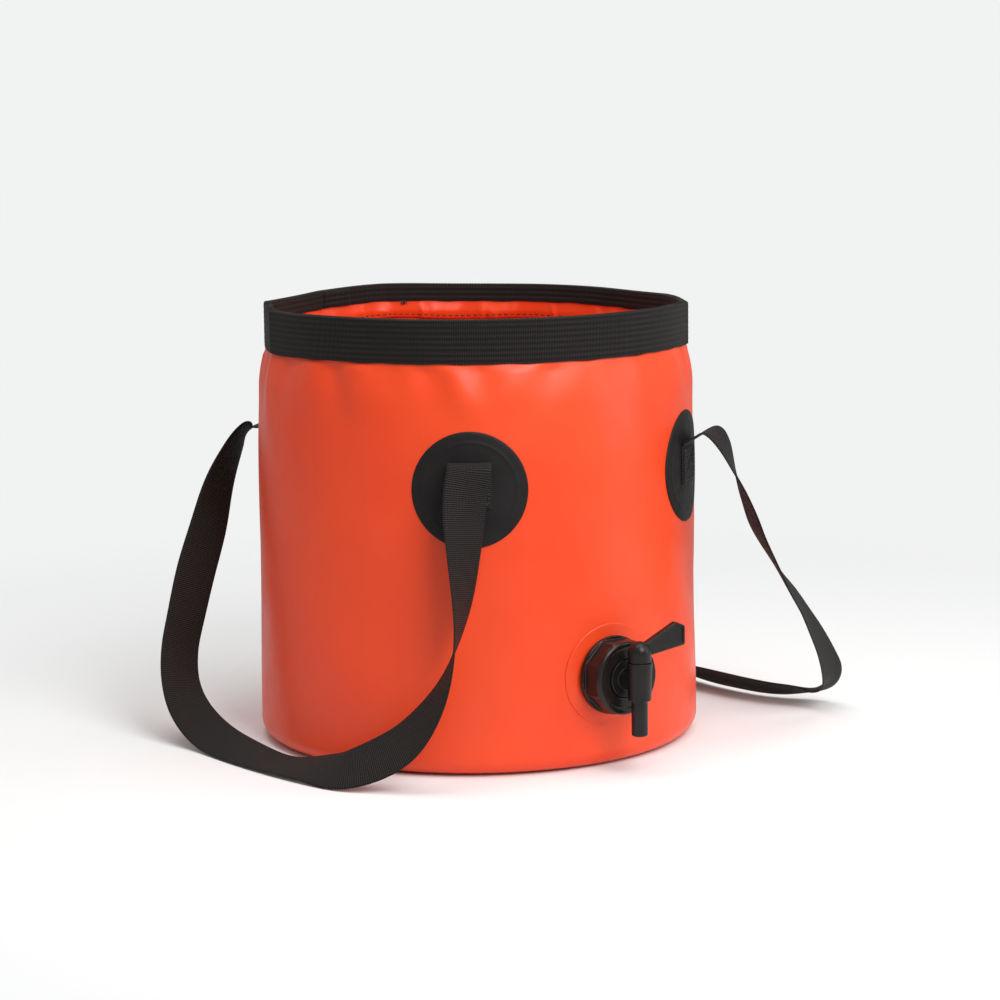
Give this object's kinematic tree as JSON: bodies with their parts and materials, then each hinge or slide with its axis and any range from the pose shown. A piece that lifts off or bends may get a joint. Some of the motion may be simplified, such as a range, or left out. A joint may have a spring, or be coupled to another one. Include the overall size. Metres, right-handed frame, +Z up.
{
  "type": "collapsible water bucket with tap",
  "caption": "Round collapsible bucket of coated fabric with a bound rim, webbing strap handles on round patches and a spigot tap near the base.",
  "frame": {"origin": "centre of the base's underside", "axes": "+Z up through the mouth, the tap points along -Y, the handles hang at -X and +X"},
  "size_m": [0.3856, 0.2992, 0.26],
  "materials": {
    "pvc_sheet": "coated woven fabric, semi-gloss",
    "patch_pvc": "fine matt grain",
    "webbing": "woven polypropylene",
    "hoop_plastic": "plain",
    "tap_plastic": "moulded, semi-gloss",
    "seal_rubber": "plain"
  },
  "bodies": {
    "bucket": {"body_wall": "pvc_sheet", "base_panel": "pvc_sheet", "wall_seam_tape": "pvc_sheet", "rim_hoop": "hoop_plastic", "rim_facing": "pvc_sheet", "rim_binding": "webbing", "tap_weld_flange": "pvc_sheet", "tap_neck": "tap_plastic", "neck_washer": "seal_rubber", "handle_patch_front_left": "patch_pvc", "handle_patch_front_right": "patch_pvc", "handle_patch_rear_right": "patch_pvc", "handle_patch_rear_left": "patch_pvc", "strap_anchor_front_left": "webbing", "strap_anchor_front_right": "webbing", "strap_anchor_rear_right": "webbing", "strap_anchor_rear_left": "webbing"},
    "tap": {"tap_body": "tap_plastic"},
    "collar": {"collar_nut": "tap_plastic"},
    "valve": {"valve_plug": "tap_plastic", "plug_ring_upper": "seal_rubber", "plug_ring_lower": "seal_rubber", "tap_lever": "tap_plastic"},
    "handle_left": {"handle_strap_left": "webbing"},
    "handle_right": {"handle_strap_right": "webbing"}
  },
  "joints": [
    {"name": "tap_withdraw", "type": "slide", "parent": "bucket", "child": "tap", "axis": [0, -1, 0], "range_m": [0, 0.0075]},
    {"name": "collar_turn", "type": "hinge", "parent": "tap", "child": "collar", "pos_m": [0, -0.145, 0.0545], "axis": [0, -1, 0], "range_deg": [0, 900.5]},
    {"name": "lever_turn", "type": "hinge", "parent": "tap", "child": "valve", "pos_m": [0, -0.15899, 0.0545], "axis": [0, 0, -1], "range_deg": [0, 90]},
    {"name": "left_handle_swing", "type": "hinge", "parent": "bucket", "child": "handle_left", "pos_m": [-0.09, 0, 0.1805], "axis": [0, 1, 0], "range_deg": [0, 135]},
    {"name": "right_handle_swing", "type": "hinge", "parent": "bucket", "child": "handle_right", "pos_m": [0.09, 0, 0.1805], "axis": [0, -1, 0], "range_deg": [0, 135]}
  ],
  "couplings": [
    {"joint": "collar_turn", "follows": "tap_withdraw", "rad_per_m": 2094.4}
  ]
}
